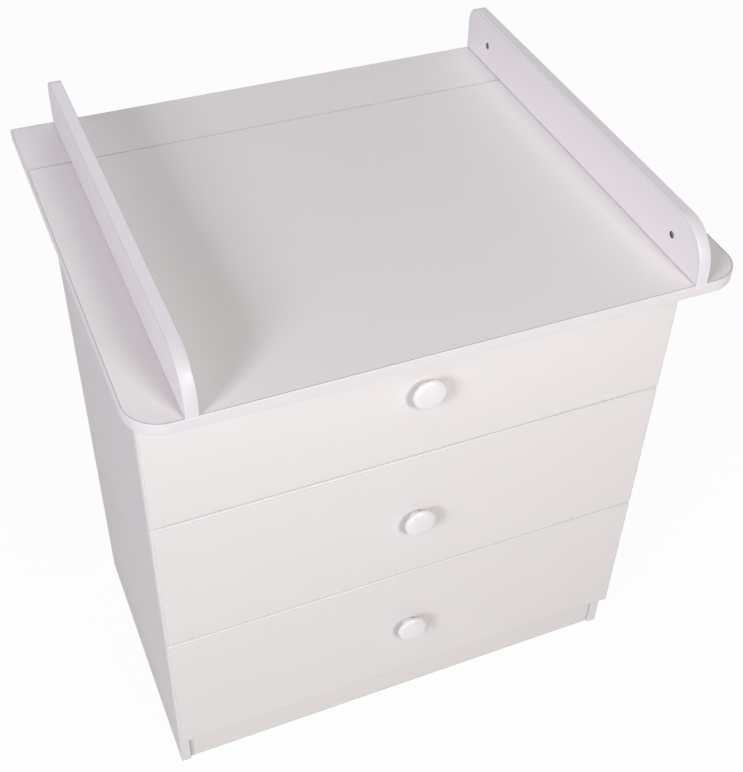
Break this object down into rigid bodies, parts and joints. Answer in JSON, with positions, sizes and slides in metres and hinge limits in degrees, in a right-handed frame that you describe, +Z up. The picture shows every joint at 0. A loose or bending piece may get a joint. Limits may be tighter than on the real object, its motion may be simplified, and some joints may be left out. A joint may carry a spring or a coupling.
{
  "type": "changing dresser",
  "caption": "White chest of drawers with full-overlay fronts and round knobs under an overhanging changing board with two side guard rails and a rear filler strip.",
  "frame": {"origin": "on the floor, under the middle of the changing top's outline", "axes": "+X to the right seen from the front, +Y to the back (the drawers open along -Y), +Z up"},
  "size_m": [0.844, 0.696, 0.971],
  "materials": {
    "white_board": "melamine-faced chipboard, fine satin",
    "white_hardboard": "white-faced hardboard, matt",
    "white_knob": "white lacquer, satin",
    "beech": "raw beech, fluted",
    "zinc": "cast zinc, dull",
    "steel": "bright zinc plating",
    "painted_steel": "white powder coat",
    "white_nylon": "moulded nylon"
  },
  "bodies": {
    "chest": {"side_panel_left": "white_board", "side_panel_right": "white_board", "bottom_panel": "white_board", "toe_board": "white_board", "top_rail_front": "white_board", "top_rail_rear": "white_board", "back_panel": "white_hardboard", "cam_housings": "zinc", "cam_bolts": "steel", "wooden_dowels": "beech", "changing_board": "white_board", "rear_strip": "white_board", "strip_dowels": "beech", "guard_rail_left": "white_board", "guard_rail_right": "white_board", "rail_bolts": "steel", "rail_barrel_nuts": "zinc", "board_screws": "steel", "drawer_1_chest_runners": "painted_steel", "drawer_2_chest_runners": "painted_steel", "drawer_3_chest_runners": "painted_steel"},
    "drawer_1": {"drawer_1_front": "white_board", "drawer_1_side_left": "white_board", "drawer_1_side_right": "white_board", "drawer_1_inner_front": "white_board", "drawer_1_back": "white_board", "drawer_1_floor": "white_hardboard", "drawer_1_box_screws": "steel", "drawer_1_front_screws": "steel", "drawer_1_knob": "white_knob", "drawer_1_knob_screw": "steel", "drawer_1_runners": "painted_steel"},
    "drawer_1_chest_rollers": {"drawer_1_chest_rollers": "white_nylon"},
    "drawer_1_rear_rollers": {"drawer_1_rear_rollers": "white_nylon"},
    "drawer_2": {"drawer_2_front": "white_board", "drawer_2_side_left": "white_board", "drawer_2_side_right": "white_board", "drawer_2_inner_front": "white_board", "drawer_2_back": "white_board", "drawer_2_floor": "white_hardboard", "drawer_2_box_screws": "steel", "drawer_2_front_screws": "steel", "drawer_2_knob": "white_knob", "drawer_2_knob_screw": "steel", "drawer_2_runners": "painted_steel"},
    "drawer_2_chest_rollers": {"drawer_2_chest_rollers": "white_nylon"},
    "drawer_2_rear_rollers": {"drawer_2_rear_rollers": "white_nylon"},
    "drawer_3": {"drawer_3_front": "white_board", "drawer_3_side_left": "white_board", "drawer_3_side_right": "white_board", "drawer_3_inner_front": "white_board", "drawer_3_back": "white_board", "drawer_3_floor": "white_hardboard", "drawer_3_box_screws": "steel", "drawer_3_front_screws": "steel", "drawer_3_knob": "white_knob", "drawer_3_knob_screw": "steel", "drawer_3_runners": "painted_steel"},
    "drawer_3_chest_rollers": {"drawer_3_chest_rollers": "white_nylon"},
    "drawer_3_rear_rollers": {"drawer_3_rear_rollers": "white_nylon"}
  },
  "joints": [
    {"name": "drawer_1_slide", "type": "slide", "parent": "chest", "child": "drawer_1", "axis": [0, -1, 0], "range_m": [0, 0.3]},
    {"name": "drawer_1_chest_rollers_turn", "type": "hinge", "parent": "chest", "child": "drawer_1_chest_rollers", "pos_m": [0, -0.217, 0.65105], "axis": [1, 0, 0], "range_deg": [0, 1600]},
    {"name": "drawer_1_rear_rollers_turn", "type": "hinge", "parent": "drawer_1", "child": "drawer_1_rear_rollers", "pos_m": [0, 0.15, 0.65025], "axis": [1, 0, 0], "range_deg": [0, 1750]},
    {"name": "drawer_2_slide", "type": "slide", "parent": "chest", "child": "drawer_2", "axis": [0, -1, 0], "range_m": [0, 0.3]},
    {"name": "drawer_2_chest_rollers_turn", "type": "hinge", "parent": "chest", "child": "drawer_2_chest_rollers", "pos_m": [0, -0.217, 0.38705], "axis": [1, 0, 0], "range_deg": [0, 1600]},
    {"name": "drawer_2_rear_rollers_turn", "type": "hinge", "parent": "drawer_2", "child": "drawer_2_rear_rollers", "pos_m": [0, 0.15, 0.38625], "axis": [1, 0, 0], "range_deg": [0, 1750]},
    {"name": "drawer_3_slide", "type": "slide", "parent": "chest", "child": "drawer_3", "axis": [0, -1, 0], "range_m": [0, 0.3]},
    {"name": "drawer_3_chest_rollers_turn", "type": "hinge", "parent": "chest", "child": "drawer_3_chest_rollers", "pos_m": [0, -0.217, 0.12305], "axis": [1, 0, 0], "range_deg": [0, 1600]},
    {"name": "drawer_3_rear_rollers_turn", "type": "hinge", "parent": "drawer_3", "child": "drawer_3_rear_rollers", "pos_m": [0, 0.15, 0.12225], "axis": [1, 0, 0], "range_deg": [0, 1750]}
  ],
  "couplings": [
    {"joint": "drawer_1_chest_rollers_turn", "follows": "drawer_1_slide", "rad_per_m": 90.909},
    {"joint": "drawer_1_rear_rollers_turn", "follows": "drawer_1_slide", "rad_per_m": 100},
    {"joint": "drawer_2_chest_rollers_turn", "follows": "drawer_2_slide", "rad_per_m": 90.909},
    {"joint": "drawer_2_rear_rollers_turn", "follows": "drawer_2_slide", "rad_per_m": 100},
    {"joint": "drawer_3_chest_rollers_turn", "follows": "drawer_3_slide", "rad_per_m": 90.909},
    {"joint": "drawer_3_rear_rollers_turn", "follows": "drawer_3_slide", "rad_per_m": 100}
  ]
}
